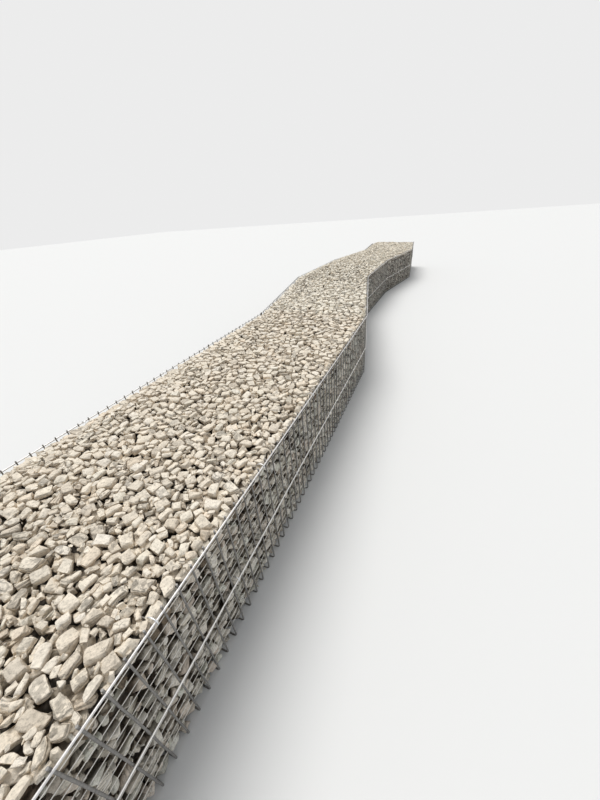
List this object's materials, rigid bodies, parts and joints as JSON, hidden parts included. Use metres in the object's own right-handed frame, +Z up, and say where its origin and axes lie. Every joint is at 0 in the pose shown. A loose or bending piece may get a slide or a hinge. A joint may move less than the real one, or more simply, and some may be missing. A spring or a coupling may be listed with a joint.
{
  "type": "gabion wall",
  "caption": "Low gabion retaining wall: welded galvanised wire mesh baskets in a gently bent row, packed with broken pale limestone and held by hooked cross ties.",
  "frame": {"origin": "bottom centre of the whole wall's bounding box, on the ground", "axes": "+X along the row of bays, -Y out of the front face, +Z up"},
  "size_m": [12.3134, 1.8518, 0.812],
  "materials": {
    "galvanised_bar": "dull zinc, slightly mottled",
    "galvanised_wire": "dull zinc wire with dust from the stones",
    "tie_wire": "bright new zinc",
    "broken_stone": "matt broken limestone, pale cream to grey"
  },
  "bodies": {
    "root": {"back_mesh_1": "galvanised_bar", "back_mesh_2": "galvanised_bar", "back_mesh_3": "galvanised_bar", "back_mesh_4": "galvanised_bar", "back_mesh_5": "galvanised_bar", "back_mesh_6": "galvanised_bar", "back_mid_rods": "galvanised_bar", "back_wires_1": "galvanised_wire", "back_wires_2": "galvanised_wire", "back_wires_3": "galvanised_wire", "back_wires_4": "galvanised_wire", "back_wires_5": "galvanised_wire", "back_wires_6": "galvanised_wire", "end_mid_rods": "galvanised_bar", "far_end_mesh": "galvanised_bar", "far_end_wires": "galvanised_wire", "front_mesh_1": "galvanised_bar", "front_mesh_2": "galvanised_bar", "front_mesh_3": "galvanised_bar", "front_mesh_4": "galvanised_bar", "front_mesh_5": "galvanised_bar", "front_mesh_6": "galvanised_bar", "front_mid_rods": "galvanised_bar", "front_wires_1": "galvanised_wire", "front_wires_2": "galvanised_wire", "front_wires_3": "galvanised_wire", "front_wires_4": "galvanised_wire", "front_wires_5": "galvanised_wire", "front_wires_6": "galvanised_wire", "mid_ties": "tie_wire", "near_end_mesh": "galvanised_bar", "near_end_wires": "galvanised_wire", "stone_fill_1": "broken_stone", "stone_fill_2": "broken_stone", "stone_fill_3": "broken_stone", "stone_fill_4": "broken_stone", "stone_fill_5": "broken_stone", "stone_fill_6": "broken_stone", "top_ties": "tie_wire"}
  },
  "joints": []
}
